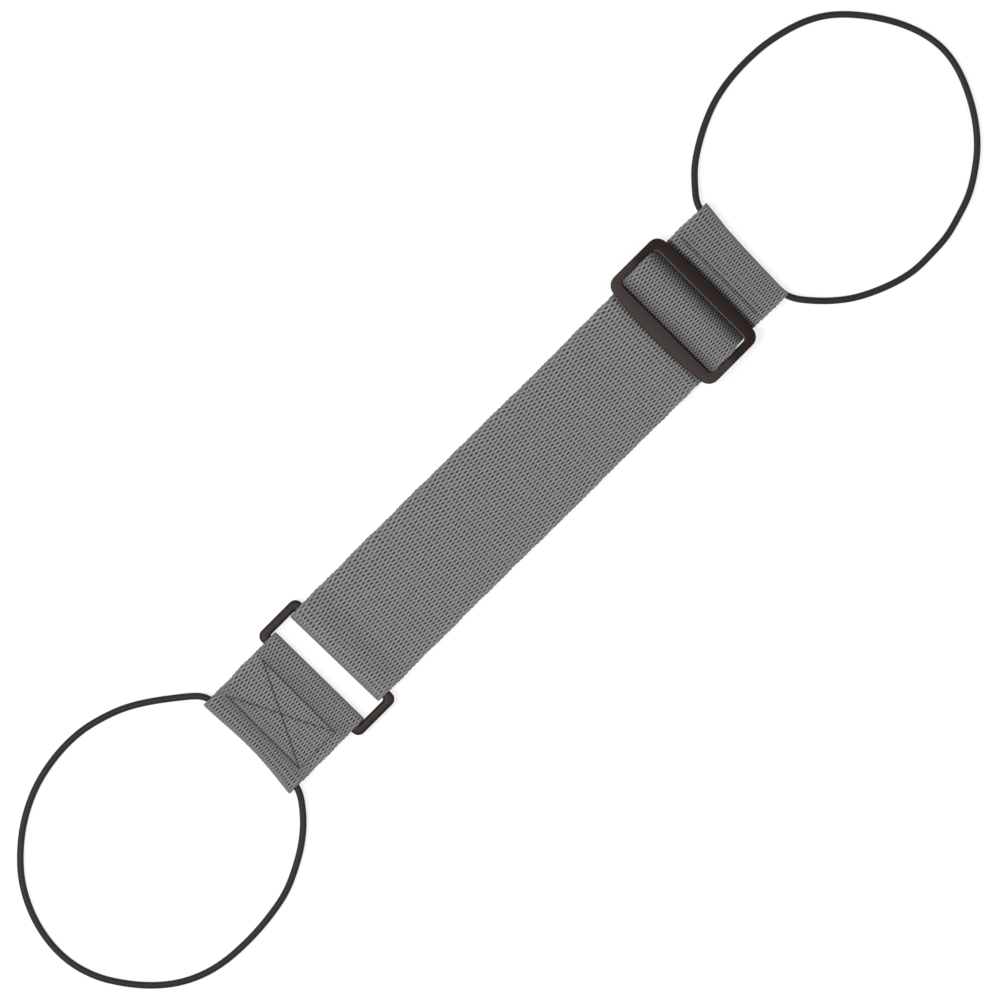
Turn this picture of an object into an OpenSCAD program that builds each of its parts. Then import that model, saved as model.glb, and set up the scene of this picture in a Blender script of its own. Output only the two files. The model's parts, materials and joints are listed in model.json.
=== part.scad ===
// Adjustable webbing strap with an elastic cord loop at each end.
// The strap lies flat along X. Z = 0 is the surface that it lies on.

/* [Webbing] */
// Width of the webbing
web_w = 50; // [38:1:60]
// Thickness of the webbing
web_t = 1.4; // [1.2:0.1:1.8]
// Free space between two layers that lie on each other
lay_gap = 0.15; // [0.1:0.05:0.3]
// Slope of a layer that comes down from a turn, in degrees
turn_slope = 40; // [35:1:50]

/* [Lengths] */
// Distance from the middle of the strap to each cord tunnel
tunnel_reach = 141; // [128:1:180]
// Distance from the lower cord tunnel to the ring bar in the short strap
short_reach = 33.15; // [30:0.05:45]
// Distance from the upper cord tunnel to the slider's centre bar
slider_back = 34; // [33:0.5:40]
// Length of the double layer beyond the ring's turn, which the slider doesn't reach
turn_lead = 7.65; // [5:0.05:20]

/* [Rectangular ring] */
// Thickness of the ring's bars
ring_bar_d = 3.9; // [3:0.1:5]
// Distance between the centres of the ring's two long bars
ring_pitch = 18.8; // [17:0.1:26]
// Free space between a ring bar and the webbing turned round it
ring_gap = 0.3; // [0.2:0.05:0.5]
// Extra slack of the webbing turn beyond the bar
ring_slack = 1.35; // [0.5:0.05:2]
// Free space between the webbing's edge and the ring's end bar
ring_side_gap = 0.6; // [0.4:0.1:1.5]

/* [Slider] */
// Size of the slider frame along the strap, at its ends
slider_w = 30; // [28:0.5:34]
// Bow of the long bar on the ring side
near_bow = 1.6; // [0.5:0.1:2.5]
// Bow of the long bar on the far side
far_bow = 1; // [0.5:0.1:2.5]
// Thickness of the slider frame
slider_t = 2.6; // [2.2:0.1:3.2]
// Size of the slider's window along the strap
window_w = 20.3; // [19:0.1:22]
// Free space between the webbing's edge and the slider's end bar
window_side_gap = 1; // [0.6:0.1:1.5]
// Width of the slider's end bars
end_bar_w = 3.8; // [3:0.1:5]
// Outer corner radius of the slider frame
slider_corner = 4.9; // [3:0.1:6]
// Inner corner radius of the slider's window
window_corner = 2; // [1:0.1:3]
// Thickness of the slider's centre bar
centre_bar_d = 3.2; // [2.8:0.1:3.6]

/* [Cords] */
// Thickness of the elastic cord
cord_d = 2.8; // [2.4:0.1:3]
// Thickness of the crimp ferrule that joins each cord
ferrule_d = 3.5; // [3.2:0.1:3.6]
// Length of the crimp ferrule
ferrule_l = 12; // [8:1:16]
// Radius inside the webbing tunnel that holds a cord
tunnel_r = 2; // [1.9:0.05:2.5]

/* [Stitching] */
// Width of a row of stitches
thread_w = 1; // [0.8:0.1:1.4]
// Height of the thread above the webbing
thread_h = 0.35; // [0.25:0.05:0.5]
// Distance between the box stitch and the turns of the short strap
box_inset = 0.55; // [0.3:0.05:3]
// Distance between a row's end and the webbing's edge
seam_margin = 4; // [3:0.5:6]
// Length of the strap end that is sewn back on itself at the slider
sewn_l = 22; // [16:1:24]

/* [Hidden] */

$fn = 64;
BOW_FN = 360;
ARC_STEPS = 12;
CORD_SIDES = 8;
EPS = 0.01;

// Slopes at which the webbing leaves the cord tunnels and the slider's centre bar, in degrees
TUNNEL_SLOPE = 45;
LOOP_UNDER_SLOPE = 35;
LOOP_BACK_SLOPE = 55;
OVER_NEAR_SLOPE = 40;
OVER_FAR_SLOPE = 50;

// Step between the sewn end and the end of the run below it, and the gap between two cut ends
SEWN_LAP = 2;
CUT_GAP = 1;
// Free space under the slider frame
SLIDER_GAP = 0.1;
// Length of the bar loop's flat start
LOOP_LEAD = 1.2;
// Rise of the top run, and how far the turn over the slider reaches beyond its edges
TOP_RISE = 5;
OVER_NEAR = 2.4;
OVER_FAR = 1.2;
// Length of the tail at rest
TAIL_L = 1.8;
// Distance from the tail's end to its seam, and the step between the seams of the sewn end
SEAM_INSET = 1.5;
SEAM_STEP = 6;

// Heights of the middle of each webbing layer, counted from the surface
pitch = web_t + lay_gap;
z0 = web_t / 2;
z1 = z0 + pitch;
z2 = z1 + pitch + thread_h;

// Ring bars and the turns round them
bar_b_x = short_reach - tunnel_reach;
bar_a_x = bar_b_x + ring_pitch;
turn_r = ring_bar_d / 2 + ring_gap + web_t / 2;
ring_z = z0 + turn_r;
ring_len = web_w + 2 * (ring_side_gap + ring_bar_d);

// Slider
slider_x = tunnel_reach - slider_back;
slider_z0 = z2 + web_t / 2 + SLIDER_GAP;
slider_z = slider_z0 + slider_t / 2;
slider_len = web_w + 2 * (window_side_gap + end_bar_w);
window_len = web_w + 2 * window_side_gap;
bar_loop_r = centre_bar_d / 2 + lay_gap + web_t / 2;
over_bar_r = bar_loop_r + pitch;

// Cord tunnels
tunnel_mid_r = tunnel_r + web_t / 2;
tunnel_z = z0 + tunnel_mid_r;

// Where the pieces of the long strap meet
near_edge_x = slider_x - slider_w / 2 - near_bow;
far_edge_x = slider_x + slider_w / 2 + far_bow;
sewn_x = slider_x - window_w / 2 - sewn_l + SEWN_LAP;
loop_back_x = slider_x - descent(slider_z, bar_loop_r, LOOP_BACK_SLOPE, z1);
loop_start_x = loop_back_x - LOOP_LEAD;
turn_end_x = bar_a_x + turn_descent() + turn_lead;
top_rise_x = sewn_x - CUT_GAP;
over_start_x = near_edge_x - OVER_NEAR;
over_end_x = far_edge_x + OVER_FAR;
tail_end_x = over_end_x + TAIL_L;
upper_seam_x = tail_end_x + SEAM_INSET;

// Box stitch
box_x = -tunnel_reach + tunnel_descent() + box_inset;
box_l = bar_b_x - turn_descent() - box_inset - box_x;
butt_x = box_x + box_l / 2;
seam_len = web_w - 2 * seam_margin;

// Routes of the cords from one ferrule end round to the other
UPPER_CORD = [
    [141, 6, 3.4], [141, 15, 3.4], [141, 24, 3.4], [142, 27.5, 3.2], [146, 32, 2.4],
    [151.5, 38, 1.8], [159.5, 43.5, 1.4], [168, 48, 1.4], [177, 51.5, 1.4], [187, 53.5, 1.4],
    [197, 54, 1.4], [207, 53.5, 1.4], [217, 51.5, 1.4], [226, 48.5, 1.4], [234, 44, 1.4],
    [241, 37.5, 1.4], [247, 30, 1.4], [252.5, 21, 1.4], [256.5, 11, 1.4], [258, 1, 1.4],
    [256.5, -9, 1.4], [252.5, -19, 1.4], [247, -28.5, 1.4], [240, -37, 1.4], [232, -43.5, 1.4],
    [223, -49, 1.4], [214, -52, 1.4], [205, -54.5, 1.4], [195, -55, 1.4], [186, -55, 1.4],
    [177, -53, 1.4], [168, -49.5, 1.4], [159.5, -45, 1.4], [151.5, -38.5, 1.8], [146, -32.5, 2.4],
    [142, -27.5, 3.2], [141, -24, 3.4], [141, -15, 3.4], [141, -6, 3.4]
];
LOWER_CORD = [
    [-141, 6, 3.4], [-141, 15, 3.4], [-141, 24, 3.4], [-142, 27.5, 3.2], [-146, 31, 2.4],
    [-151, 35, 1.8], [-159, 41, 1.4], [-168, 46.5, 1.4], [-177, 50, 1.4], [-187, 52.5, 1.4],
    [-197, 53, 1.4], [-207, 52, 1.4], [-217, 49.5, 1.4], [-226, 45.5, 1.4], [-234, 40.5, 1.4],
    [-241, 34.5, 1.4], [-247, 28, 1.4], [-252, 20, 1.4], [-256, 10, 1.4], [-258, -1, 1.4],
    [-257.5, -12, 1.4], [-254, -23, 1.4], [-248.5, -32, 1.4], [-242, -40, 1.4], [-234, -47, 1.4],
    [-225, -52, 1.4], [-215, -55, 1.4], [-205, -56, 1.4], [-195, -56, 1.4], [-185, -55, 1.4],
    [-175, -53, 1.4], [-166, -49, 1.4], [-158, -44.5, 1.4], [-151, -39, 1.8], [-146, -33.5, 2.4],
    [-142, -28, 3.2], [-141, -24, 3.4], [-141, -15, 3.4], [-141, -6, 3.4]
];

// Points along an arc about c, from angle a0 to a1
function arc(c, r, a0, a1) =
    [for (i = [0:ARC_STEPS]) let (a = a0 + (a1 - a0) * i / ARC_STEPS) c + r * [cos(a), sin(a)]];

// Distance along X from an arc's centre at height cz to where its tangent of slope a reaches height z
function descent(cz, r, a, z) = r * sin(a) + (cz + r * cos(a) - z) / tan(a);
function turn_descent() = descent(ring_z, turn_r, turn_slope, z1);
function tunnel_descent() = descent(tunnel_z, tunnel_mid_r, TUNNEL_SLOPE, z1);

// A layer of webbing is a path in the XZ plane, given its thickness and extruded across the strap
function unit(v) = v / norm(v);
function side(p, i) = let (d = unit(p[i + 1] - p[i])) [-d[1], d[0]];
function mitre(p, i) =
    i == 0 ? side(p, 0) :
    i == len(p) - 1 ? side(p, i - 1) :
    let (a = side(p, i - 1), b = side(p, i), m = unit(a + b)) m / (m * a);
function ribbon(p, t) = concat(
    [for (i = [0:len(p) - 1]) p[i] + mitre(p, i) * t / 2],
    [for (i = [len(p) - 1:-1:0]) p[i] - mitre(p, i) * t / 2]
);

module webbing(path) {
    rotate([90, 0, 0])
        linear_extrude(web_w, center = true)
            polygon(ribbon(path, web_t));
}

// A tube swept along a route of points, with its sides square to the route
function heading(p, i) = unit(p[min(i + 1, len(p) - 1)] - p[max(i - 1, 0)]);
function hoop(p, i, r) =
    let (d = heading(p, i), s = unit(cross([0, 0, 1], d)), u = cross(d, s))
    [for (k = [0:CORD_SIDES - 1])
        let (a = 360 * (k + 0.5) / CORD_SIDES) p[i] + r * (cos(a) * s + sin(a) * u)];

module cord(route) {
    n = len(route);
    hoops = [for (i = [0:n - 1]) each hoop(route, i, cord_d / 2)];
    walls = [
        for (i = [0:n - 2], k = [0:CORD_SIDES - 1])
            let (next = (k + 1) % CORD_SIDES, a = i * CORD_SIDES, b = a + CORD_SIDES)
            [a + k, b + k, b + next, a + next]
    ];
    start_cap = [for (k = [0:CORD_SIDES - 1]) k];
    end_cap = [for (k = [CORD_SIDES - 1:-1:0]) (n - 1) * CORD_SIDES + k];
    polyhedron(points = hoops, faces = concat(walls, [start_cap, end_cap]), convexity = 4);
}

module rounded_rect(size, r) {
    square([size[0] - 2 * r, size[1]], center = true);
    square([size[0], size[1] - 2 * r], center = true);
    for (sx = [-1, 1], sy = [-1, 1])
        translate([sx * (size[0] / 2 - r), sy * (size[1] / 2 - r)])
            circle(r);
}

// The cap of a large circle that bows a side outward by the given height
module bow_cap(length, height) {
    r = (length * length / 4 + height * height) / (2 * height);
    intersection() {
        translate([height - r, 0])
            circle(r, $fn = BOW_FN);
        translate([0, -length / 2])
            square([height, length]);
    }
}

module bar(d, length) {
    rotate([90, 0, 0])
        cylinder(d = d, h = length, center = true);
}

// The long strap

module strap_turn() {
    centre = [bar_a_x - ring_slack, ring_z];
    path = concat(
        [[turn_end_x, z0]],
        arc(centre, turn_r, 270, 90),
        arc([bar_a_x, ring_z], turn_r, 90, 90 - turn_slope),
        [[bar_a_x + turn_descent(), z1], [turn_end_x, z1]]
    );
    color("dimgray") webbing(path);
}

module strap_under_run() {
    color("dimgray") webbing([[turn_end_x, z0], [sewn_x, z0]]);
}

module strap_top_run() {
    path = [[turn_end_x, z1], [top_rise_x - TOP_RISE, z1], [top_rise_x, z2], [over_start_x, z2]];
    color("dimgray") webbing(path);
}

module strap_sewn_end() {
    color("dimgray") {
        webbing([[sewn_x, z0], [loop_start_x, z0]]);
        webbing([[sewn_x + SEWN_LAP, z1], [loop_start_x, z1]]);
    }
}

module strap_bar_loop() {
    centre = [slider_x, slider_z];
    rise_x = slider_x + bar_loop_r * sin(LOOP_UNDER_SLOPE)
        - (slider_z - bar_loop_r * cos(LOOP_UNDER_SLOPE) - z0) / tan(LOOP_UNDER_SLOPE);
    path = concat(
        [[loop_start_x, z0], [rise_x, z0]],
        arc(centre, bar_loop_r, LOOP_UNDER_SLOPE - 90, 90 + LOOP_BACK_SLOPE),
        [[loop_back_x, z1], [loop_start_x, z1]]
    );
    color("dimgray") webbing(path);
}

module bar_loop_seam() {
    color("black")
        for (i = [0:1])
            translate([sewn_x + SEAM_STEP * (i + 1), -seam_len / 2, z1 + web_t / 2])
                cube([thread_w, seam_len, thread_h]);
}

module strap_over_bar() {
    centre = [slider_x, slider_z];
    path = concat(
        [[over_start_x, z2], [slider_x - descent(slider_z, over_bar_r, OVER_NEAR_SLOPE, z2), z2]],
        arc(centre, over_bar_r, 90 + OVER_NEAR_SLOPE, 90 - OVER_FAR_SLOPE),
        [[slider_x + descent(slider_z, over_bar_r, OVER_FAR_SLOPE, z1), z1], [over_end_x, z1]]
    );
    color("gray") webbing(path);
}

module strap_tail() {
    color("dimgray") webbing([[over_end_x, z1], [tail_end_x, z1]]);
}

module upper_tunnel_fold() {
    path = concat(
        [[tail_end_x, z1], [tunnel_reach - tunnel_descent(), z1]],
        arc([tunnel_reach, tunnel_z], tunnel_mid_r, 90 + TUNNEL_SLOPE, -90),
        [[tail_end_x + CUT_GAP, z0]]
    );
    color("dimgray") webbing(path);
}

module upper_tunnel_seam() {
    color("black")
        translate([upper_seam_x - thread_w / 2, -seam_len / 2, z1 + web_t / 2])
            cube([thread_w, seam_len, thread_h]);
}

// The hardware

module slider_frame() {
    color("dimgray") {
        translate([slider_x, 0, slider_z0])
            linear_extrude(slider_t)
                difference() {
                    union() {
                        rounded_rect([slider_w, slider_len], slider_corner);
                        translate([slider_w / 2 - EPS, 0])
                            bow_cap(slider_len - 2 * slider_corner, far_bow);
                        mirror([1, 0])
                            translate([slider_w / 2 - EPS, 0])
                                bow_cap(slider_len - 2 * slider_corner, near_bow);
                    }
                    rounded_rect([window_w, window_len], window_corner);
                }
        translate([slider_x, 0, slider_z])
            bar(centre_bar_d, window_len + 1);
    }
}

module rectangular_ring() {
    color("dimgray")
        translate([(bar_a_x + bar_b_x) / 2, 0, ring_z]) {
            for (s = [-1, 1]) {
                translate([s * ring_pitch / 2, 0, 0])
                    bar(ring_bar_d, ring_len - ring_bar_d);
                translate([0, s * (ring_len - ring_bar_d) / 2, 0])
                    rotate([0, 90, 0])
                        cylinder(d = ring_bar_d, h = ring_pitch, center = true);
            }
            for (sx = [-1, 1], sy = [-1, 1])
                translate([sx * ring_pitch / 2, sy * (ring_len - ring_bar_d) / 2, 0])
                    sphere(d = ring_bar_d);
        }
}

// The short strap

module short_strap_fold() {
    path = concat(
        [[butt_x - CUT_GAP / 2, z0]],
        arc([-tunnel_reach, tunnel_z], tunnel_mid_r, 270, 90 - TUNNEL_SLOPE),
        [[-tunnel_reach + tunnel_descent(), z1], [butt_x, z1]]
    );
    color("dimgray") webbing(path);
}

module short_strap_turn() {
    path = concat(
        [[butt_x, z1], [bar_b_x - turn_descent(), z1]],
        arc([bar_b_x, ring_z], turn_r, 90 + turn_slope, 90),
        arc([bar_b_x + ring_slack, ring_z], turn_r, 90, -90),
        [[butt_x + CUT_GAP / 2, z0]]
    );
    color("dimgray") webbing(path);
}

module box_stitch() {
    w = seam_len + thread_w;
    diagonal = norm([box_l - thread_w, seam_len]);
    angle = atan2(seam_len, box_l - thread_w);
    color("black")
        translate([butt_x, 0, z1 + web_t / 2])
            linear_extrude(thread_h) {
                difference() {
                    square([box_l, w], center = true);
                    square([box_l - 2 * thread_w, w - 2 * thread_w], center = true);
                }
                for (s = [-1, 1])
                    rotate(s * angle)
                        square([diagonal, thread_w], center = true);
            }
}

// The elastic cords

module cord_ferrule(x) {
    color("slategray")
        translate([x, 0, tunnel_z])
            bar(ferrule_d, ferrule_l);
}

module upper_cord() {
    color("#2c2828") cord(UPPER_CORD);
}

module upper_cord_ferrule() {
    cord_ferrule(tunnel_reach);
}

module lower_cord() {
    color("#2c2828") cord(LOWER_CORD);
}

module lower_cord_ferrule() {
    cord_ferrule(-tunnel_reach);
}

strap_turn();
strap_under_run();
strap_top_run();
slider_frame();
strap_sewn_end();
strap_bar_loop();
bar_loop_seam();
strap_over_bar();
strap_tail();
upper_tunnel_fold();
upper_tunnel_seam();
upper_cord();
upper_cord_ferrule();
rectangular_ring();
short_strap_turn();
short_strap_fold();
box_stitch();
lower_cord();
lower_cord_ferrule();
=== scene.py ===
"""Adjustable webbing strap with a slider, a rectangular ring and two elastic cord loops."""
import json
import math

import bpy
import numpy as np
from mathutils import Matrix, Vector


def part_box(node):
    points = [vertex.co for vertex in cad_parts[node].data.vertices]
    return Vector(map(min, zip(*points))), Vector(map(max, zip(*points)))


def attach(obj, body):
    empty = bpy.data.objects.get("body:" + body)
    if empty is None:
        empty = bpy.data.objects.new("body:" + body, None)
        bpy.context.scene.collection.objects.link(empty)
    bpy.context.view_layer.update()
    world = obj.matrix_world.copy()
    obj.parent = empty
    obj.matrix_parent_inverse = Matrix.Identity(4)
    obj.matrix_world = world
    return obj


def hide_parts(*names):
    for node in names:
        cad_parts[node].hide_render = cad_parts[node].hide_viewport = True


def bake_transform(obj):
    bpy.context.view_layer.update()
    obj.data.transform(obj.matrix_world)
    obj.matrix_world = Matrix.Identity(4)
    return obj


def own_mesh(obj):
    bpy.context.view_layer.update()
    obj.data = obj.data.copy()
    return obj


bl_info = {
    "name": "Adjustable Webbing Strap",
    "version": (1, 0, 0),
    "blender": (4, 5, 0),
    "location": "View3D > Sidebar > Strap",
    "description": "Builds a webbing strap with a slider, a ring and elastic cord loops",
    "category": "Object",
}

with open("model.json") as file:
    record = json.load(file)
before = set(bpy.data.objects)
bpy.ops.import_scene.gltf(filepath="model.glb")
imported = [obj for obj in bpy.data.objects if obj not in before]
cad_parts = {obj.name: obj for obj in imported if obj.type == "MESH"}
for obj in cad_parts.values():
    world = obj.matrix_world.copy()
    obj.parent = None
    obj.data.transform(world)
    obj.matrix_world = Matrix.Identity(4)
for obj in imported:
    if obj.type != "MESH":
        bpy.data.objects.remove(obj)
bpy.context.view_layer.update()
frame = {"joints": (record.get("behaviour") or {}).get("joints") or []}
MM = 0.001
JOINTS = {joint["name"]: joint for joint in frame["joints"]}


def low(node):
    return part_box(node)[0]


def high(node):
    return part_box(node)[1]


def middle(node):
    return (low(node) + high(node)) / 2


def extent(node):
    return [highest - lowest for lowest, highest in zip(*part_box(node))]


def pivot(joint):
    return Vector(JOINTS[joint]["pos_m"])


# Heights of the webbing layers and places of the bars and tunnels, all from the frame
_, WEB_W, WEB_T = extent("strap_tail")
HALF_W = WEB_W / 2
Z0 = middle("strap_under_run").z
Z1 = middle("strap_tail").z
Z2 = high("strap_top_run").z - WEB_T / 2
BAR_A = pivot("ring_swing")
BAR_B = pivot("lower_end_swing")
UPPER_TUNNEL = pivot("upper_cord_swing")
LOWER_TUNNEL = pivot("lower_cord_swing")
TURN_R = BAR_A.z - Z0
TUNNEL_R = UPPER_TUNNEL.z - Z0
TURN_END = high("strap_turn").x
TURN_SLACK = BAR_A.x - low("strap_turn").x - TURN_R - WEB_T / 2
SLIDER = middle("slider_frame")
OVER_BAR_R = high("strap_over_bar").z - SLIDER.z - WEB_T / 2
BAR_LOOP_R = OVER_BAR_R - (Z1 - Z0)
SEWN_X = low("strap_sewn_end").x
OVER_START = low("strap_over_bar").x
OVER_END = high("strap_over_bar").x
TAIL_END = high("strap_tail").x
SEAM_X = middle("upper_tunnel_seam").x
SEAM_HALF = high("upper_tunnel_seam").y
BOX_LOW = low("box_stitch")
BOX_HIGH = high("box_stitch")
# Ends of the box stitch's rows along the strap and across it
BOX_X = (BOX_LOW.x + 0.1 * MM, BOX_HIGH.x - 0.1 * MM)
BOX_Y = (BOX_LOW.y + 0.4 * MM, BOX_HIGH.y - 0.6 * MM)

# Where along the strap the slider turns darker: painted shade on its far half, for the reflection that its
# near half catches and its far half lacks
FAR_HALF_PAINTED_SHADE = (104 * MM, 110 * MM)

# Slopes at which the loop round the centre bar leaves it, in degrees
LOOP_UNDER_SLOPE = 35
LOOP_BACK_SLOPE = 55

# The hump over the centre bar: distance from the bar in millimetres, and share of the full height
HUMP_NEAR = [(-10, 0), (-6.7, 0.758), (-3.5, 0.958), (0, 1)]
HUMP_FAR = [(3.5, 0.956), (6.2, 0.829), (9.6, 0.209), (10.4, 0.082), (11.4, 0)]

# Routes of the cords from one ferrule end round to the other, in millimetres: along the strap and across it
UPPER_CORD = [
    (141, 6), (141, 15), (141, 24), (142, 27.5), (146, 32), (151.5, 38), (159.5, 43.5), (168, 48),
    (177, 51.5), (187, 53.5), (197, 54), (207, 53.5), (217, 51.5), (226, 48.5), (234, 44), (241, 37.5),
    (247, 30), (252.5, 21), (256.5, 11), (258, 1), (256.5, -9), (252.5, -19), (247, -28.5), (240, -37),
    (232, -43.5), (223, -49), (214, -52), (205, -54.5), (195, -55), (186, -55), (177, -53), (168, -49.5),
    (159.5, -45), (151.5, -38.5), (146, -32.5), (142, -27.5), (141, -24), (141, -15), (141, -6),
]
LOWER_CORD = [
    (-141, 6), (-141, 15), (-141, 24), (-142, 27.5), (-146, 31), (-151, 35), (-159, 41), (-168, 46.5),
    (-177, 50), (-187, 52.5), (-197, 53), (-207, 52), (-217, 49.5), (-226, 45.5), (-234, 40.5),
    (-241, 34.5), (-247, 28), (-252, 20), (-256, 10), (-258, -1), (-257.5, -12), (-254, -23),
    (-248.5, -32), (-242, -40), (-234, -47), (-225, -52), (-215, -55), (-205, -56), (-195, -56),
    (-185, -55), (-175, -53), (-166, -49), (-158, -44.5), (-151, -39), (-146, -33.5), (-142, -28),
    (-141, -24), (-141, -15), (-141, -6),
]
# Heights of a route's points, in millimetres: down out of the tunnel, and the same at the other end
CORD_CLIMB = [3.4, 3.4, 3.4, 3.2, 2.4, 1.8]
CORD_LYING = 1.4


def length_setting(name, description, default):
    return bpy.props.FloatProperty(name=name, description=description, default=default, unit="LENGTH")


def colour_setting(name, description, default):
    return bpy.props.FloatVectorProperty(name=name, description=description, default=default, subtype="COLOR")


class WebbingSettings(bpy.types.PropertyGroup):
    column_pitch: length_setting(
        "Column Pitch", "Distance between two columns of slots along the strap", 2.2 * MM)
    row_pitch: length_setting(
        "Row Pitch", "Distance between two slots of one column across the strap", 1.5 * MM)
    slant: bpy.props.FloatProperty(
        name="Slant", description="Drift of the rows of slots across the long strap for each metre along it",
        default=0.075)
    relief: length_setting("Relief", "Depth of the slots between the yarns", 0.4 * MM)
    yarn_colour: colour_setting("Yarn Colour", "Colour on the crowns of the yarns", (0.23, 0.23, 0.23))
    # Deep between the yarns the colour is painted shade, where the slots fall dark
    slot_painted_shade_colour: colour_setting("Slot Colour", "Colour deep between the yarns", (0.01, 0.01, 0.0105))


class StitchSettings(bpy.types.PropertyGroup):
    thread_d: length_setting("Thread", "Thickness of the sewing thread", 0.32 * MM)
    pitch: length_setting("Pitch", "Length of one stitch", 4.2 * MM)
    # One thread in two shades: painted dark as shade where it lies sunk in the box stitch, and lighter where
    # the seam's raised strands catch the light
    colour: colour_setting("Colour", "Colour of the sewing thread", (0.045, 0.045, 0.045))
    lit_seam_colour: colour_setting("Seam Colour", "Colour of the thread of the seam beyond the slider",
                                (0.15, 0.15, 0.15))


class HardwareSettings(bpy.types.PropertyGroup):
    colour: colour_setting("Colour", "Colour of the dark bronze finish", (0.031, 0.0235, 0.0225))
    # Near-black painted shade along the rounded edges, with a copper tint where the finish is worn
    worn_edge_painted_shade_colour: colour_setting(
        "Edge Colour", "Copper that shows where the finish is worn", (0.022, 0.009, 0.006))
    # A pale painted highlight where the strap rubs the far bar's inner edge
    rubbed_edge_painted_highlight_colour: colour_setting(
        "Rubbed Colour", "Paler metal where the strap rubs the far bar's inner edge", (0.2, 0.125, 0.105))
    plate_t: length_setting("Plate Thickness", "Thickness of the slider's frame", 2.6 * MM)
    near_bow: length_setting("Near Bow", "How far the slider's near bar bows out", 1.6 * MM)
    far_bow: length_setting("Far Bow", "How far the slider's far bar bows out", 1.0 * MM)
    window_l: length_setting("Window Length", "Length of the slider's window along the strap", 20.3 * MM)
    end_w: length_setting("End Width", "Width of each end bar of the slider", 3.8 * MM)


class CordSettings(bpy.types.PropertyGroup):
    thickness: length_setting("Thickness", "Thickness of the elastic cord", 2.8 * MM)
    colour: colour_setting("Colour", "Colour of the cord's braided cover", (0.0056, 0.0043, 0.0047))


class StageSettings(bpy.types.PropertyGroup):
    view_width: length_setting("View Width", "Width that the camera sees at the strap", 0.408)
    lens: bpy.props.FloatProperty(
        name="Lens", description="Focal length of the camera", default=300, unit="CAMERA")
    floor_colour: colour_setting("Floor Colour", "Colour of the floor", (0.88, 0.88, 0.88))


# Shader and geometry maths, written as Python expressions

def maths(operation, swapped=False):
    """A method that adds a Math node. The wire's own value comes first, unless the two are swapped."""
    def method(wire, *others):
        operands = (*others, wire) if swapped else (wire, *others)
        return add(wire.tree, "ShaderNodeMath", {"operation": operation}, dict(enumerate(operands)))
    return method


class Wire:
    """An output socket. Operators on it add Math nodes to its tree."""
    __add__, __radd__ = maths("ADD"), maths("ADD", swapped=True)
    __sub__, __rsub__ = maths("SUBTRACT"), maths("SUBTRACT", swapped=True)
    __mul__, __rmul__ = maths("MULTIPLY"), maths("MULTIPLY", swapped=True)
    __abs__ = maths("ABSOLUTE")
    cos, sin = maths("COSINE"), maths("SINE")
    at_least, at_most = maths("MAXIMUM"), maths("MINIMUM")

    def __init__(self, tree, socket):
        self.tree = tree
        self.socket = socket

    def smooth(self, start, end):
        return add(self.tree, "ShaderNodeMapRange", {"interpolation_type": "SMOOTHSTEP"},
                   {"Value": self, "From Min": start, "From Max": end})


def plug(tree, socket, value):
    """Links a wire to an input socket, or sets the socket's value."""
    if isinstance(value, Wire):
        tree.links.new(value.socket, socket)
    else:
        socket.default_value = value


def add(tree, kind, settings=None, inputs=None, output=0):
    """Adds a node with its settings and the values or links of its sockets, and returns one output."""
    node = tree.nodes.new(kind)
    for name, value in (settings or {}).items():
        setattr(node, name, value)
    for key, value in (inputs or {}).items():
        plug(tree, node.inputs[key], value)
    return Wire(tree, node.outputs[output])


def split(vector):
    """The three numbers of a vector."""
    node = add(vector.tree, "ShaderNodeSeparateXYZ", inputs={0: vector}).socket.node
    return [Wire(vector.tree, socket) for socket in node.outputs]


def speckle(place, scale, detail):
    """Noise from 0 to 1, with the given scale in blobs per metre."""
    return add(place.tree, "ShaderNodeTexNoise", inputs={"Vector": place, "Scale": scale, "Detail": detail})


def noise(x, y, scale, detail=2):
    """Noise over the flat webbing, with one scale along it and one across."""
    place = add(x.tree, "ShaderNodeCombineXYZ", inputs={"X": x * scale[0], "Y": y * scale[1]})
    return speckle(place, 1, detail)


def bump(height, strength, distance):
    return add(height.tree, "ShaderNodeBump",
               inputs={"Strength": strength, "Distance": distance, "Height": height})


def carried(tree, name, output="Fac"):
    """What the mesh carries at each point under that name."""
    return add(tree, "ShaderNodeAttribute", {"attribute_name": name}, output=output)


def spot_on_piece(tree):
    return add(tree, "ShaderNodeTexCoord", output="Object")


def shade(colour, share):
    """The colour made lighter or darker, by one share or by one for each channel."""
    return np.multiply(tuple(colour), share)


def weave(x, y, settings):
    """Height of the webbing's yarns from 0 to 1, and how much a place lies in a slot."""
    drift_x = (noise(x, y, (45, 90)) - 0.5) * 1.1 * MM
    drift_y = (noise(x, y, (110, 60)) - 0.5) * 1.5 * MM
    along = (x + drift_x) * (math.pi / settings.column_pitch)
    across = (y + drift_y) * (2 * math.pi / settings.row_pitch)
    column = along.cos()
    strength = noise(x, y, (420, 620), 1).smooth(0.25, 0.5)
    slot = (column * abs(column) * across.cos()).smooth(-0.02, 0.5) * (0.5 + 0.5 * strength)
    crown = (column * across.cos() * -1).smooth(-0.4, 0.7)
    return crown * (1 - slot), slot


# Materials

def material(name):
    """A new node material, and its Principled shader."""
    made = bpy.data.materials.new(name)
    made.use_nodes = True
    shader = made.node_tree.nodes["Principled BSDF"]
    return made, made.node_tree, shader


def feed(tree, shader, sockets):
    for name, value in sockets.items():
        plug(tree, shader.inputs[name], value)


def blend_colours(tree, factor, a, b):
    node = add(tree, "ShaderNodeMix", {"data_type": "RGBA"}, {0: factor}).socket.node
    colour_sockets = [socket for socket in node.inputs if socket.type == "RGBA"]
    for socket, value in zip(colour_sockets, (a, b)):
        plug(tree, socket, value if isinstance(value, Wire) else (*value, 1))
    return Wire(tree, [socket for socket in node.outputs if socket.type == "RGBA"][0])


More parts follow.
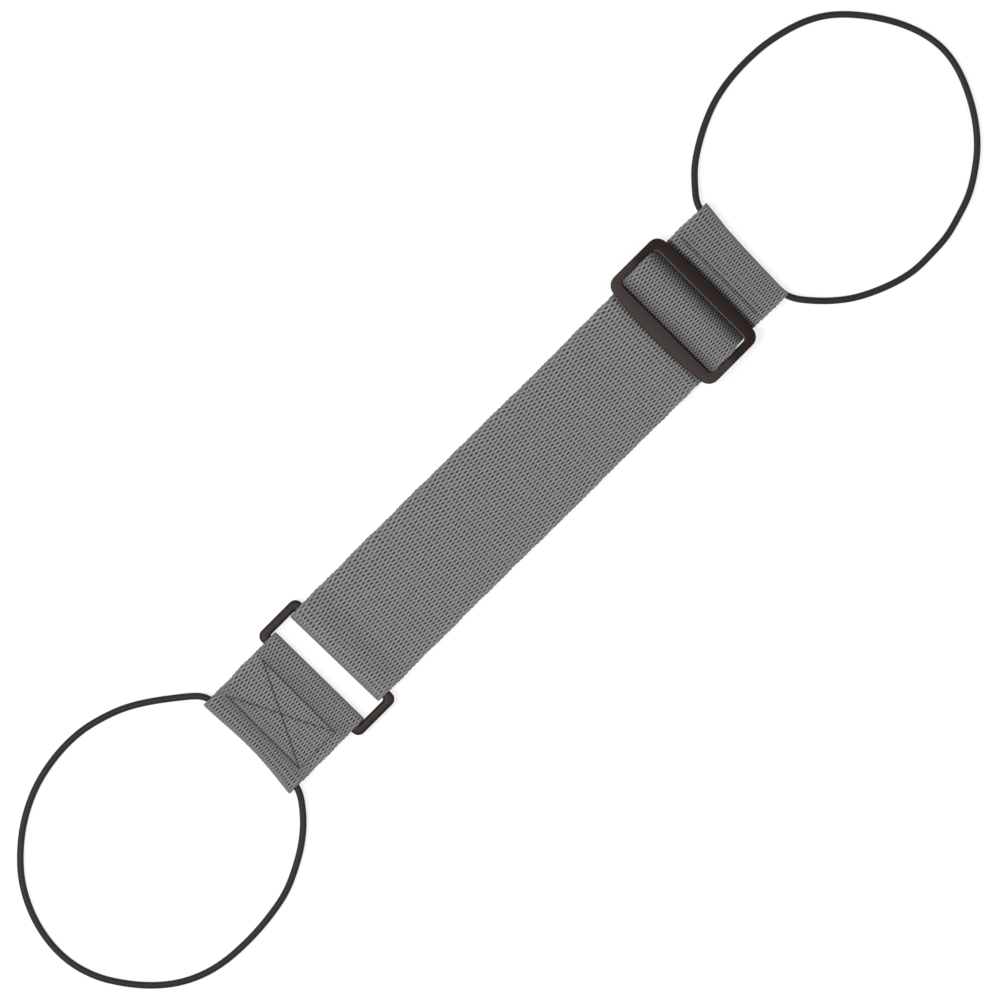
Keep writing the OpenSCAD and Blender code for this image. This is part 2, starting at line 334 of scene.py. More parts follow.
def webbing_material(name, placed):
    """Grey webbing. Its weave follows the flat attribute, or if placed the piece's own place."""
    settings = bpy.context.scene.strap_webbing
    made, tree, shader = material(name)
    x, y, face = split(carried(tree, "flat", "Vector"))
    groove = carried(tree, "groove")
    tone = carried(tree, "tone")
    if placed:
        x = split(spot_on_piece(tree))[0]
        y = y + x * settings.slant
    height, slot = weave(x, y, settings)
    # Painted light: the slots, the yarns' sides, the edges and steep parts and the stitches' grooves are
    # painted darker as shade, the yarns' crowns lighter, and the painted shade that the mesh carries darkens
    # it further
    slot_painted_shade = (1 - 0.96 * (slot * face)).at_least(0.02)
    crown_painted_highlight = 0.6 + 0.4 * height
    side_painted_shade = 0.8 + 0.2 * face.at_most(1)
    groove_painted_shade = 1 - 0.88 * groove
    fibres = noise(x, y, (900, 5200), 3)
    patch = noise(x, y, (160, 240))
    light = (0.74 + 0.38 * fibres + 0.14 * patch) * (slot_painted_shade * crown_painted_highlight * side_painted_shade * groove_painted_shade * tone)
    feed(tree, shader, {
        "Base Color": blend_colours(tree, light, settings.slot_painted_shade_colour, settings.yarn_colour),
        "Roughness": 0.82, "Normal": bump(height * 1.5 + fibres, 0.5, 0.12 * MM),
        "Sheen Weight": 0.15, "Sheen Roughness": 0.5, "Specular IOR Level": 0.25})
    return made


def thread_material(name, setting):
    """Twisted thread, whose plies show as slanted dark lines of painted shade between them."""
    colour = getattr(bpy.context.scene.strap_stitches, setting)
    made, tree, shader = material(name)
    x, y, _ = split(spot_on_piece(tree))
    ply = 0.5 * MM
    twist = ((x + y) * (2 * math.pi / ply)).sin() * 0.5 + 0.5
    feed(tree, shader, {
        "Base Color": blend_colours(tree, 0.35 + 0.65 * twist, shade(colour, 0.5), colour), "Roughness": 0.7,
        "Normal": bump(twist, 0.5, 0.05 * MM)})
    return made


def bronze_material():
    """Dark bronze satin finish with faint cloudiness, painted shade on the slider's far half, near-black
    painted shade with a copper tint of worn metal along the edges, and a pale painted highlight where the
    strap rubs the far bar's inner edge.
    """
    settings = bpy.context.scene.strap_hardware
    made, tree, shader = material("dark_bronze")
    place = spot_on_piece(tree)
    cloud = speckle(place, 90, 4)
    grain = speckle(place, 2600, 2)
    wear = carried(tree, "wear")
    # Painted shade on the slider's far half, for the reflection that its near half catches and its far half
    # lacks; the ring is darker all over
    patina = carried(tree, "patina").at_least(split(place)[0].smooth(*FAR_HALF_PAINTED_SHADE))
    clouded = blend_colours(tree, cloud, settings.colour, shade(settings.colour, 1.25))
    base = blend_colours(tree, patina, clouded, shade(settings.colour, (0.5, 0.36, 0.36)))
    # A pale painted highlight where the strap rubs the far bar's inner edge, and near-black painted shade
    # with a copper tint of worn metal on the other edges
    rubbed_edge_painted_highlight = wear.smooth(0.75, 0.95)
    edge = blend_colours(tree, rubbed_edge_painted_highlight, settings.worn_edge_painted_shade_colour, settings.rubbed_edge_painted_highlight_colour)
    worn = (wear * (0.7 + 0.5 * cloud.smooth(0.42, 0.7)) + rubbed_edge_painted_highlight).at_most(1)
    feed(tree, shader, {
        "Base Color": blend_colours(tree, worn, base, edge), "Metallic": 0.3,
        "Roughness": 0.42 + 0.12 * cloud + 0.06 * grain, "Specular IOR Level": 0.1,
        "Normal": bump(grain, 0.15, 0.03 * MM)})
    return made


def cord_material():
    """Braided cover: two sets of strands that cross on the slant round the cord."""
    colour = bpy.context.scene.strap_cords.colour
    made, tree, shader = material("braided_cord")
    along, turn, _ = split(add(tree, "ShaderNodeUVMap", {"uv_map": "around"}))
    strand_pitch, strands = 2.4 * MM, 4
    lay = along * (2 * math.pi / strand_pitch)
    round_cord = turn * (2 * math.pi * strands)
    braid = abs((lay + round_cord).sin()).at_least(abs((lay - round_cord).sin()))
    # Painted light on the braid: the strands' crowns are painted lighter and the gaps between them darker
    feed(tree, shader, {
        "Base Color": blend_colours(tree, braid.smooth(0.55, 1), shade(colour, 0.6), shade(colour, 1.9)),
        "Roughness": 0.62, "Sheen Weight": 0.05, "Specular IOR Level": 0.3,
        "Normal": bump(braid, 0.5, 0.12 * MM)})
    return made


def ferrule_material():
    made, tree, shader = material("crimped_steel")
    brushed = speckle(spot_on_piece(tree), 1800, 3)
    feed(tree, shader, {
        "Base Color": blend_colours(tree, brushed, (0.36, 0.36, 0.37), (0.56, 0.56, 0.57)), "Metallic": 1,
        "Roughness": 0.28 + 0.2 * brushed})
    return made


# The slot of each finish, and what makes its material
FINISHES = {
    "webbing": ("webbing", lambda: webbing_material("grey_webbing", placed=False)),
    "webbing_run": ("webbing", lambda: webbing_material("grey_webbing_run", placed=True)),
    # One thread in two shades: painted dark as shade where it lies sunk in the box stitch, and lighter where
    # the seam's raised strands catch the light
    "thread": ("thread", lambda: thread_material("sewing_thread", "colour")),
    "seam_thread": ("thread", lambda: thread_material("seam_thread", "lit_seam_colour")),
    "bronze": ("hardware", bronze_material),
    "cord": ("elastic_cord", cord_material),
    "ferrule": ("ferrule", ferrule_material),
}
MADE = {}


def dress(obj, finish):
    slot, maker = FINISHES[finish]
    if finish not in MADE:
        MADE[finish] = maker()
    obj.data.materials.clear()
    obj.data.materials.append(MADE[finish])


# Mesh helpers

def mode(name):
    bpy.ops.object.mode_set(mode=name)


def pick(action="SELECT"):
    bpy.ops.mesh.select_all(action=action)


def deselect():
    if bpy.context.object and bpy.context.object.mode != "OBJECT":
        mode("OBJECT")
    bpy.ops.object.select_all(action="DESELECT")


def select_only(*pieces):
    deselect()
    for piece in pieces:
        piece.select_set(True)
    bpy.context.view_layer.objects.active = pieces[0]


def apply_place():
    bpy.ops.object.transform_apply(location=True, rotation=True, scale=True)


def modify(obj, name, kind, live=False, **settings):
    """Adds a modifier, and applies it unless it stays live."""
    modifier = obj.modifiers.new(name, kind)
    for key, value in settings.items():
        setattr(modifier, key, value)
    if not live:
        select_only(obj)
        bpy.ops.object.modifier_apply(modifier=name)


def smooth(degrees):
    bpy.ops.object.shade_smooth_by_angle(angle=math.radians(degrees))


def named(obj, name):
    obj.name = obj.data.name = name
    return obj


def join(name, pieces):
    select_only(*pieces)
    bpy.ops.object.join()
    apply_place()
    return named(bpy.context.object, name)


def cylinder(centre, radius, length, sides):
    """A cylinder across the strap."""
    deselect()
    bpy.ops.mesh.primitive_cylinder_add(
        vertices=sides, radius=radius, depth=length, location=centre, rotation=(math.pi / 2, 0, 0))
    apply_place()
    return bpy.context.object


def places(obj):
    held = np.empty(len(obj.data.vertices) * 3)
    obj.data.vertices.foreach_get("co", held)
    return held.reshape(-1, 3)


def put(obj, points):
    obj.data.vertices.foreach_set("co", np.ascontiguousarray(points, dtype=np.float32).ravel())
    obj.data.update()


def carry(obj, name, values):
    """Gives the mesh a number or a vector at each point."""
    kind, field = ("FLOAT", "value") if values.ndim == 1 else ("FLOAT_VECTOR", "vector")
    obj.data.attributes.new(name, kind, "POINT").data.foreach_set(field, values.astype(np.float32).ravel())


def wrapped_grid(name, rows, ring, place, uv=None):
    """A grid wrapped round a closed section, whose column ring closes on column 0.

    place(i, j) gives each point, and a dictionary of what the mesh carries there."""
    deselect()
    bpy.ops.mesh.primitive_grid_add(x_subdivisions=rows, y_subdivisions=ring, size=1, calc_uvs=False)
    obj = named(bpy.context.object, name)
    grid = places(obj)
    i = np.rint((grid[:, 0] + 0.5) * rows).astype(int)
    j = np.rint((grid[:, 1] + 0.5) * ring).astype(int)
    points, carried_values = place(i, j)
    put(obj, points)
    for label, values in carried_values.items():
        carry(obj, label, values)
    if uv is not None:
        layer = obj.data.uv_layers.new(name="around")
        corner = np.empty(len(obj.data.loops), int)
        obj.data.loops.foreach_get("vertex_index", corner)
        layer.data.foreach_set("uv", uv(i[corner], j[corner]).astype(np.float32).ravel())
    mode("EDIT")
    pick()
    bpy.ops.mesh.remove_doubles(threshold=1e-7)
    pick("DESELECT")
    bpy.ops.mesh.select_non_manifold(extend=False, use_wire=False, use_multi_face=False,
                                     use_non_contiguous=False, use_verts=False)
    bpy.ops.mesh.fill_holes(sides=0)
    pick()
    bpy.ops.mesh.normals_make_consistent(inside=False)
    mode("OBJECT")
    smooth(50)
    return obj


def stand_in(obj, body, finish, *nodes):
    dress(obj, finish)
    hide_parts(*nodes)
    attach(obj, body)
    return obj


# Webbing

# The length over which a corner of a path is softened
CORNER = 0.9 * MM
# Strips along the webbing's edges: one that waves, one without slots, and the next, where they fade in
WAVED, PLAIN, FADING = 3 * MM, 0.5 * MM, 1.2 * MM
# How far short of the steepest slope the slots begin to close
CLOSING = 0.2
# Drift of the rows of slots for each metre, over the hump and past the tail
HUMP_DRIFT, END_DRIFT = 0.015, 0.04


def arc(centre, radius, start, end, shift=0.0, steps=24):
    """Points along an arc in the XZ plane. Its angles are in degrees, and shift moves its centre in x."""
    x = centre.x + shift
    angles = np.radians(np.linspace(start, end, steps + 1))
    return [(x + radius * math.cos(a), centre.z + radius * math.sin(a)) for a in angles]


def tangent_reach(radius, slope, fall):
    """How far from an arc's centre its tangent of that slope has fallen that much below the centre."""
    a = math.radians(slope)
    return radius * math.sin(a) + (fall + radius * math.cos(a)) / math.tan(a)


def ease(start, end, steps=24):
    """Points from start to end that leave and arrive level."""
    return [(start[0] + (end[0] - start[0]) * t, start[1] + (end[1] - start[1]) * t * t * (3 - 2 * t))
            for t in np.linspace(0, 1, steps + 1)]


def run_up(lengths):
    """The running total of the lengths, from 0."""
    return np.concatenate([[0], np.cumsum(lengths)])


def evened(points, step, rounds):
    """The points at even steps along their line, softened in rounds with the ends kept, and its length."""
    lengths = run_up(np.linalg.norm(np.diff(points, axis=0), axis=1))
    s = np.linspace(0, lengths[-1], max(2, round(lengths[-1] / step)) + 1)
    even = np.column_stack([np.interp(s, lengths, column) for column in points.T])
    for _ in range(rounds):
        even[1:-1] = even[1:-1] * 0.5 + (even[:-2] + even[2:]) * 0.25
    return even, lengths[-1]


def headings(points):
    along = np.gradient(points, axis=0)
    return along / np.linalg.norm(along, axis=1)[:, None]


def edge_wave(u):
    """How far the webbing's edge stands in or out along its length: the weft's loops and a slow wander."""
    loops = 0.26 * np.abs(np.sin(np.pi * u / (2.22 * MM)))
    wander = 0.1 * np.sin(u * 95) + 0.1 * np.sin(u * 231 + 1.3) + 0.09 * np.sin(u * 617 + 0.4)
    return (loops + wander - 0.02) * MM


def section(fine, edge=5, coarse=8):
    """Round the webbing's section: across, up, which way is out across and up, and relief.

    The outer face comes first, then the edges and the back."""
    half = HALF_W - WEB_T / 2
    outer = [(v, WEB_T / 2, 0, 1, 1) for v in np.linspace(-half, half, fine + 1)]
    turn = np.linspace(0, math.pi, edge + 1)[1:-1]
    right = [(half + WEB_T / 2 * math.sin(a), WEB_T / 2 * math.cos(a), math.sin(a), math.cos(a), 0)
             for a in turn]
    back = [(v, -WEB_T / 2, 0, -1, 0) for v in np.linspace(half, -half, coarse + 1)]
    left = [(-v, w, -out_v, out_w, 0) for v, w, out_v, out_w, _ in reversed(right)]
    return np.array(outer + right + back + left + outer[:1])


def level(place, *pairs):
    """The value at each place, from pairs of a place in millimetres and its value."""
    where, value = np.array(pairs).T
    return np.interp(place, where * MM, value)


def profile(place, *pairs):
    """A length at each place, from pairs of millimetres."""
    return level(place, *pairs) * MM


def ramp(distance, length):
    """From 0 to 1 over the length."""
    return np.clip(distance / length, 0, 1)


def long_wander(x):
    """The long strap doesn't lie quite straight."""
    return profile(x, (-95, 0.42), (-60, 0.5), (-20, 0.35), (10, 0.05), (45, -0.15), (95, -0.2), (125, -0.1),
                   (145, -0.2))


def row_drift(x):
    """How far the rows of slots have drifted across the long strap."""
    slant = bpy.context.scene.strap_webbing.slant
    return (slant * np.minimum(x, OVER_START) + HUMP_DRIFT * np.clip(x - OVER_START, 0, OVER_END - OVER_START)
            + slant * np.clip(x - OVER_END, 0, TAIL_END - OVER_END) + END_DRIFT * np.maximum(x - TAIL_END, 0))


def plain(x, y):
    return 0, long_wander(x)


def at(value, x):
    """A setting that may follow the place along the strap."""
    return value(x) if callable(value) else np.full(len(x), value)


def drawn_in(x, y, rows):
    """How much the stitches of the rows draw the webbing in, from 0 to 1."""
    depth = np.zeros(len(x))
    for start, end, pitch, gap, amount, width in rows:
        run = np.subtract(end, start)
        length = np.hypot(*run)
        along = ((x - start[0]) * run[0] + (y - start[1]) * run[1]) / length
        away = ((x - start[0]) * run[1] - (y - start[1]) * run[0]) / length
        inside = np.clip(np.minimum(along, length - along) / (0.5 * MM) + 1, 0, 1)
        beat = 0.5 + 0.5 * np.cos(2 * np.pi * along / pitch)
        depth = np.maximum(depth, amount * inside * np.exp(-(away / width) ** 2) * (1 - gap + gap * beat))
    return depth


def band(name, path, start_u=None, end_u=None, step=0.44 * MM, fine=256, bend=plain, pace=1.0, give=1.0,
         drift=row_drift, close=1.0, depth=1.0, tone=1.0, steepest=0.78, rows=()):
    """Webbing along a path in the XZ plane, with start_u and end_u the weave's places at its ends.

    bend moves points along and across. pace is the length of the weave for each length of the path, and give
    is where the weave gives way so that both its ends fit. drift and close set how far across and how close
    the rows of slots lie, depth how deep they are in relief and in painted shade, and the setting for painted
    shade how much it darkens the webbing. At the steepest slope the slots have closed. rows are the stitches."""
    even, _ = evened(np.array(path), step, int((CORNER / step) ** 2 * 4))
    lengths = np.linalg.norm(np.diff(even, axis=0), axis=1)
    centres = (even[1:, 0] + even[:-1, 0]) / 2
    woven = run_up(lengths * at(pace, centres))
    if start_u is not None and end_u is not None:
        repeat = 2 * bpy.context.scene.strap_webbing.column_pitch
        spare = end_u - start_u - woven[-1]
        spare -= round(spare / repeat) * repeat
        share = run_up(lengths * at(give, centres))
        woven += spare * share / share[-1]
    u = start_u + woven if end_u is None else end_u - (woven[-1] - woven)
    heading = headings(even)
    normal = np.column_stack([-heading[:, 1], heading[:, 0]])
    lying = ramp(at(steepest, even[:, 0]) - np.abs(heading[:, 1]), CLOSING)
    closeness = at(close, even[:, 0])
    drifted = at(drift, even[:, 0])
    around = section(fine)

    def place(i, j):
        v, w, out_v, out_w, relief = around[j].T
        x = even[i, 0] + normal[i, 0] * w
        z = even[i, 1] + normal[i, 1] * w
        edge = ramp(np.abs(v) - (HALF_W - WAVED), WAVED) * np.sign(v)
        y = v + edge * edge_wave(u[i])
        dx, dy = bend(x, y)
        fade = ramp(HALF_W - PLAIN - np.abs(v), FADING)
        # The rows are a little closer at one edge
        across = (1.009 * v - 1.53 * v ** 2) * closeness[i] + drifted[i]
        return np.column_stack([x + dx, y + dy, z]), {
            "flat": np.column_stack([u[i], across, relief * fade * lying[i] * depth]),
            "out": np.column_stack([normal[i, 0] * out_w, out_v, normal[i, 1] * out_w]),
            "groove": drawn_in(x + dx, y + dy, rows) * relief,
            "tone": at(tone, x),
        }

    return wrapped_grid(name, len(even) - 1, len(around) - 1, place)


def relief_group(placed):
    """Geometry nodes that sink the slots of the weave in, by the piece's own place if placed."""
    name = "webbing_relief_placed" if placed else "webbing_relief"
    if name in bpy.data.node_groups:
        return bpy.data.node_groups[name]
    settings = bpy.context.scene.strap_webbing
    tree = bpy.data.node_groups.new(name, "GeometryNodeTree")
    for way in ("INPUT", "OUTPUT"):
        tree.interface.new_socket("Geometry", in_out=way, socket_type="NodeSocketGeometry")
    source = add(tree, "NodeGroupInput")
    flat, out, groove = (
        add(tree, "GeometryNodeInputNamedAttribute", {"data_type": kind}, {"Name": label})
        for label, kind in (("flat", "FLOAT_VECTOR"), ("out", "FLOAT_VECTOR"), ("groove", "FLOAT")))
    x, y, face = split(flat)
    if placed:
        x = split(add(tree, "GeometryNodeInputPosition"))[0]
        y = y + x * settings.slant
    height, _ = weave(x, y, settings)
    sunk = ((height - 1) * face - groove * 0.6) * settings.relief
    offset = add(tree, "ShaderNodeVectorMath", {"operation": "SCALE"}, {0: out, "Scale": sunk})
    moved = add(tree, "GeometryNodeSetPosition", inputs={"Geometry": source, "Offset": offset})
    target = tree.nodes.new("NodeGroupOutput")
    tree.links.new(moved.socket, target.inputs[0])
    return tree


def add_relief(obj, live=False):
    """Sinks the weave in. Live, it keeps its size as the piece grows shorter."""
    modify(obj, "relief", "NODES", live, node_group=relief_group(live))
    return obj


def weave_in(piece, body, *nodes):
    return stand_in(add_relief(piece), body, "webbing", *nodes)


class STRAP_OT_stage(bpy.types.Operator):
    """Adds the floor, the soft lights and the camera"""
    bl_idname = "strap.stage"
    bl_label = "Stage"

    # How much of the floor's look is its own glow where it is seen, and the strength of the room's light
    FLOOR_GLOW = 0.78
    ROOM_LIGHT = 0.3
    # Name, place, size and power of each lamp
    LAMPS = (("key_light", (-0.7, 0.4, 1.7), 0.9, 38), ("fill_light", (0.9, -0.9, 1.3), 1.4, 10))
    # The camera stands over this place and looks straight down, turned so that the strap lies on the slant
    VIEW_CENTRE = (-0.2 * MM, -1.6 * MM)
    VIEW_TURN = -45

    def execute(self, context):
        settings = context.scene.strap_stage
        deselect()
        bpy.ops.mesh.primitive_plane_add(size=6)
        floor = named(context.object, "floor")
        made, tree, shader = material("pale_floor")
        feed(tree, shader, {
            "Base Color": (*settings.floor_colour, 1), "Roughness": 0.9, "Specular IOR Level": 0.1})
        glow = add(tree, "ShaderNodeEmission", inputs={"Color": (1, 1, 1, 1), "Strength": 1})
        rays = add(tree, "ShaderNodeLightPath").socket.node.outputs
        straight, glossy, clear = (
            Wire(tree, rays[f"Is {kind} Ray"]) for kind in ("Camera", "Glossy", "Transmission"))
        share = (straight + glossy + clear) * self.FLOOR_GLOW
        both = add(tree, "ShaderNodeMixShader", inputs={0: share, 1: Wire(tree, shader.outputs[0]), 2: glow})
        tree.links.new(both.socket, tree.nodes["Material Output"].inputs["Surface"])
        floor.data.materials.append(made)

        world = bpy.data.worlds.new("soft_room")
        world.use_nodes = True
        background = world.node_tree.nodes["Background"]
        feed(world.node_tree, background, {"Color": (1, 1, 1, 1), "Strength": self.ROOM_LIGHT})
        context.scene.world = world
        for name, place, size, power in self.LAMPS:
            light = bpy.data.lights.new(name, "AREA")
            light.size = size
            light.energy = power
            self.stand(name, light, place, (-Vector(place)).to_track_quat("-Z", "Y").to_euler())

        camera = bpy.data.cameras.new("camera")
        camera.lens = settings.lens
        distance = settings.view_width * settings.lens / camera.sensor_width
        context.scene.camera = self.stand(
            "camera", camera, (*self.VIEW_CENTRE, distance + Z1), (0, 0, math.radians(self.VIEW_TURN)))
        context.scene.view_settings.view_transform = "Standard"
        return {"FINISHED"}

    def stand(self, name, data, place, turn):
        obj = bpy.data.objects.new(name, data)
        bpy.context.scene.collection.objects.link(obj)
        obj.location = place
        obj.rotation_euler = turn
        return obj


def smooth_route(route, step, rounds=60):
    """A cord's route as one smooth curve at even steps, and its length."""
    lying = [CORD_LYING] * (len(route) - 2 * len(CORD_CLIMB))
    points = np.column_stack([route, CORD_CLIMB + lying + CORD_CLIMB[::-1]]) * MM
    ghost = np.vstack([2 * points[0] - points[1], points, 2 * points[-1] - points[-2]])
    fine = []
    for k in range(1, len(ghost) - 2):
        a, b, c, d = ghost[k - 1:k + 3]
        for t in np.linspace(0, 1, 12, endpoint=False):
            fine.append(0.5 * (2 * b + (c - a) * t + (2 * a - 5 * b + 4 * c - d) * t ** 2
                               + (3 * b - a - 3 * c + d) * t ** 3))
    return evened(np.array([*fine, points[-1]]), step, rounds)


def tube(name, route, diameter, step=0.6 * MM, sides=20):
    """A round cord along a route, with a UV map of its length and of the turn round it."""
    even, length = smooth_route(route, step)
    heading = headings(even)
    side = np.cross([0, 0, 1], heading)
    side /= np.linalg.norm(side, axis=1)[:, None]
    up = np.cross(heading, side)
    step_u = length / (len(even) - 1)

    def place(i, j):
        a = 2 * math.pi * (j % sides) / sides
        return even[i] + diameter / 2 * (np.cos(a)[:, None] * side[i] + np.sin(a)[:, None] * up[i]), {}

    def uv(i, j):
        return np.column_stack([i * step_u, j / sides])

    return wrapped_grid(name, len(even) - 1, sides, place, uv=uv), even, length


class STRAP_OT_cords(bpy.types.Operator):
    """Adds the two elastic cord loops and the ferrules inside their tunnels"""
    bl_idname = "strap.cords"
    bl_label = "Elastic Cords"

    def execute(self, context):
        thickness = context.scene.strap_cords.thickness
        for body, route, tunnel in (
            ("upper_cord", UPPER_CORD, UPPER_TUNNEL),
            ("lower_cord", LOWER_CORD, LOWER_TUNNEL),
        ):
            ferrule = self.ferrule(f"{body}_ferrule")
            stand_in(ferrule, body, "ferrule", f"{body}_ferrule")
            piece, even, length = tube(f"{body}_loop", route, thickness)
            stand_in(piece, body, "cord", body)
        return {"FINISHED"}

    def ferrule(self, node, slices=16):
        """A sleeve with rolled ends and two crimped waists."""
        centre = middle(node)
        _, length, thickness = extent(node)
        obj = named(cylinder(centre, thickness / 2, length, 40), f"{node}_sleeve")
        mode("EDIT")
        for k in range(1, slices):
            pick()
            cut = centre + Vector((0, length * (k / slices - 0.5), 0))
            bpy.ops.mesh.bisect(plane_co=cut, plane_no=(0, 1, 0))
        mode("OBJECT")
        points = places(obj)
        offset = np.abs(points[:, 1] - centre.y) / length
        waist = 1 - 0.14 * np.exp(-((offset - 0.2) / 0.06) ** 2)
        rolled = 0.1 * ramp(offset - 0.46, 0.04)
        for k in (0, 2):
            points[:, k] = centre[k] + (points[:, k] - centre[k]) * (waist - rolled)
        put(obj, points)
        smooth(40)
        return obj


def turn_path():
    return ([(TURN_END, Z0)] + arc(BAR_A, TURN_R, 270, 90, -TURN_SLACK)
            + ease((BAR_A.x, BAR_A.z + TURN_R), (TURN_END, Z1)))


def over_bar_path():
    top = SLIDER.z + OVER_BAR_R
    return ([(OVER_START, Z2)] + [(SLIDER.x + x * MM, Z2 + (top - Z2) * share) for x, share in HUMP_NEAR]
            + [(SLIDER.x + x * MM, Z1 + (top - Z1) * share) for x, share in HUMP_FAR] + [(OVER_END, Z1)])


def bar_loop_path():
    back = SLIDER.x - tangent_reach(BAR_LOOP_R, LOOP_BACK_SLOPE, SLIDER.z - Z1)
    under = SLIDER.x + tangent_reach(BAR_LOOP_R, LOOP_UNDER_SLOPE, Z0 - SLIDER.z)
    return ([(SEWN_X + 2 * MM, Z1), (back, Z1)]
            + arc(SLIDER, BAR_LOOP_R, 90 + LOOP_BACK_SLOPE, LOOP_UNDER_SLOPE - 90)
            + [(under, Z0), (SEWN_X, Z0)])


def upper_tunnel_path():
    return (ease((TAIL_END, Z1), (UPPER_TUNNEL.x, UPPER_TUNNEL.z + TUNNEL_R))
            + arc(UPPER_TUNNEL, TUNNEL_R, 90, -90)
            + [(low("upper_tunnel_fold").x + 1 * MM, Z0)])


def short_strap_top():
    """The short strap's upper layer, from the cord's tunnel to the bar of the ring."""
    return (ease((LOWER_TUNNEL.x, LOWER_TUNNEL.z + TUNNEL_R), (LOWER_TUNNEL.x + 11.5 * MM, Z1))
            + ease((BAR_B.x - 11 * MM, Z1), (BAR_B.x, BAR_B.z + TURN_R)))


def short_strap_path():
    butt = (BOX_LOW.x + BOX_HIGH.x) / 2
    gap = 0.5 * MM
    return ([(butt - gap, Z0)] + arc(LOWER_TUNNEL, TUNNEL_R, 270, 90) + short_strap_top()
            + arc(BAR_B, TURN_R, 90, -90, TURN_SLACK) + [(butt + gap, Z0)])


# Rows of stitches: start, end, length of one stitch, how much it lets go between stitches, depth and width
def box_rows():
    (x0, x1), (y0, y1) = BOX_X, BOX_Y
    pitch = bpy.context.scene.strap_stitches.pitch
    return [
        ((x1, y1), (x1, y0), pitch, 0.35, 0.9, 0.36 * MM),
        ((x0, y1), (x0, y0), pitch, 0.3, 0.95, 0.42 * MM),
        ((x1, y1), (x0, y0), pitch, 0.3, 0.9, 0.3 * MM),
        ((x0, y1), (x1, y0), pitch * 0.81, 0.95, 1.0, 0.42 * MM),
        ((x0, y1), (x1, y1), pitch * 0.7, 0.6, 0.22, 0.4 * MM),
        ((x0, y0), (x1, y0), pitch * 0.7, 0.6, 0.45, 0.36 * MM),
    ]


def upper_row(x=0):
    pitch = bpy.context.scene.strap_stitches.pitch * 1.35
    return (SEAM_X + x, -SEAM_HALF), (SEAM_X + x, SEAM_HALF), pitch, 0.3, 1.0, 0.3 * MM


# Beyond the slider the rows of slots lie closer, the slots are deeper and the webbing has a little painted
# shade from the hardware near it
BEYOND = {"close": 1.14, "depth": 1.25, "tone": 0.93}
# Parts of the hump that the slider's bars hide
HIDDEN = ((91.5 * MM, 96.5 * MM), (118 * MM, 122.5 * MM))
# The top run's rise onto the sewn end: where it starts before the end, its level start, and where it is up
RISE_BEFORE, RISE_LEVEL, RISE_UP = 1.4 * MM, 1 * MM, 1.9 * MM


def hump_pace(x):
    return np.where(np.abs(x - SLIDER.x) < 10.4 * MM, 1.09, 1.0)


def hump_close(x):
    return 1 + (BEYOND["close"] - 1) * ramp(x - 91 * MM, 6 * MM)


def hidden(x):
    return sum(((x > low_x) & (x < high_x)).astype(float) for low_x, high_x in HIDDEN)


def hump_painted_shade(x):
    """Painted shade where the bars shade the webbing on both sides of the hump."""
    return level(x, (88, 1), (89.5, 0.92), (90.7, 0.6), (96, 0.4), (97.2, 0.36), (98.2, 0.5), (99.7, 0.7),
                 (101.5, 0.86), (103, 0.96), (109, 0.98), (111.5, 0.84), (113.5, 0.62), (115, 0.42),
                 (116.5, 0.25), (118, 0.3), (122.9, 0.55), (124, 0.8), (124.3, BEYOND["tone"]))


def turned(x, y):
    """The turn in the ring isn't quite square."""
    reach = ramp(BAR_A.x + 9 * MM - x, 14 * MM)
    return reach * (-0.15 * MM - 0.022 * y), long_wander(x)


def humped(x, y):
    """The hump fills the slider's window, but for one far corner."""
    inside = level(x, (95, 0), (98, 1), (116, 1), (119, 0))
    low_side = profile(x, (97, 0.9), (110, 0.9), (112.5, 0.3), (116, 0), (117.5, 0.2))
    wide = np.where(y < 0, low_side, 1.2 * MM)
    return 0, long_wander(x) + inside * wide * y / HALF_W


def spread(x, y):
    """The loop round the centre bar fills the window's length."""
    inside = ramp(x - SLIDER.x + 12 * MM, 3 * MM)
    return 0, long_wander(x) + inside * 0.9 * MM * y / HALF_W


def skewed(x, y):
    """The folded end isn't quite square, and narrows at one side."""
    reach = ramp(x - SEAM_X - 6 * MM, UPPER_TUNNEL.x - SEAM_X - 6 * MM)
    edge = profile(y, (-25, -1.2), (-21, -1.65), (-12, -1.45), (0, -1.1), (12, -0.45), (18, 0.25), (25, 1.0))
    narrow = ramp(x - 131 * MM, 5 * MM) * ramp(y, HALF_W) * 0.45 * MM
    return reach * edge, long_wander(x) - narrow


